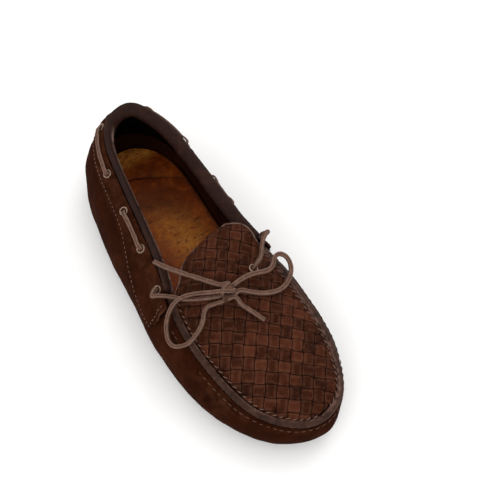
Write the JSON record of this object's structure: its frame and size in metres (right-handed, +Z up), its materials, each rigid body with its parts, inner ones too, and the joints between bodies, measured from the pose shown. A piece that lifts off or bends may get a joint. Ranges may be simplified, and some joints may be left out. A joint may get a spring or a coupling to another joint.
{
  "type": "driving moccasin",
  "caption": "Slip-on suede moccasin for a right foot, with a woven leather apron and tongue, a laced collar tied in a bow, and a pebbled rubber sole.",
  "frame": {"origin": "on the ground, under the middle of the shoe without its loose lace ends", "axes": "+Z up, -Y towards the toe, +Y towards the heel, -X towards the outer side of the foot, +X towards the inner side"},
  "size_m": [0.109, 0.2868, 0.0684],
  "materials": {
    "suede": "dark chocolate suede nap",
    "collar_suede": "chocolate suede, slightly redder",
    "rim_leather": "rubbed suede edge",
    "woven_leather": "woven nubuck strips",
    "lining": "smooth dark lining",
    "insole": "worn tan leather",
    "board": "pressed fibre board",
    "counter": "pressed fibre",
    "rubber": "pebbled rubber",
    "thong": "waxed suede thong",
    "eyelet": "dark antique metal"
  },
  "bodies": {
    "shoe": {"apron_lining": "lining", "apron_piping": "rim_leather", "apron_weave": "woven_leather", "bow_knot": "thong", "bow_loop_left": "thong", "bow_loop_right": "thong", "bow_tail_left": "thong", "bow_tail_right": "thong", "collar_band_lateral": "collar_suede", "collar_band_medial": "collar_suede", "collar_binding": "rim_leather", "eyelet_apron": "eyelet", "eyelet_lateral_1": "eyelet", "eyelet_lateral_2": "eyelet", "eyelet_lateral_3": "eyelet", "eyelet_lateral_4": "eyelet", "eyelet_lateral_5": "eyelet", "eyelet_medial_1": "eyelet", "eyelet_medial_2": "eyelet", "eyelet_medial_3": "eyelet", "eyelet_medial_4": "eyelet", "eyelet_medial_5": "eyelet", "footbed": "insole", "heel_counter": "counter", "heel_lining": "lining", "heel_pad": "insole", "heel_rise": "rubber", "heel_strap": "collar_suede", "insole_board": "board", "lace_collar": "thong", "lace_crossing": "thong", "lace_strand": "thong", "lace_under_apron": "thong", "moccasin_lower": "suede", "quarter_lining_lateral": "lining", "quarter_lining_medial": "lining", "sole_forefoot": "rubber", "sole_heel": "rubber"},
    "tongue": {"tongue_weave": "woven_leather", "tongue_lining": "lining"}
  },
  "joints": [
    {"name": "tongue_lift", "type": "hinge", "parent": "shoe", "child": "tongue", "pos_m": [0, -0.01316, 0.0616], "axis": [1, 0, 0], "range_deg": [0, 40]}
  ]
}
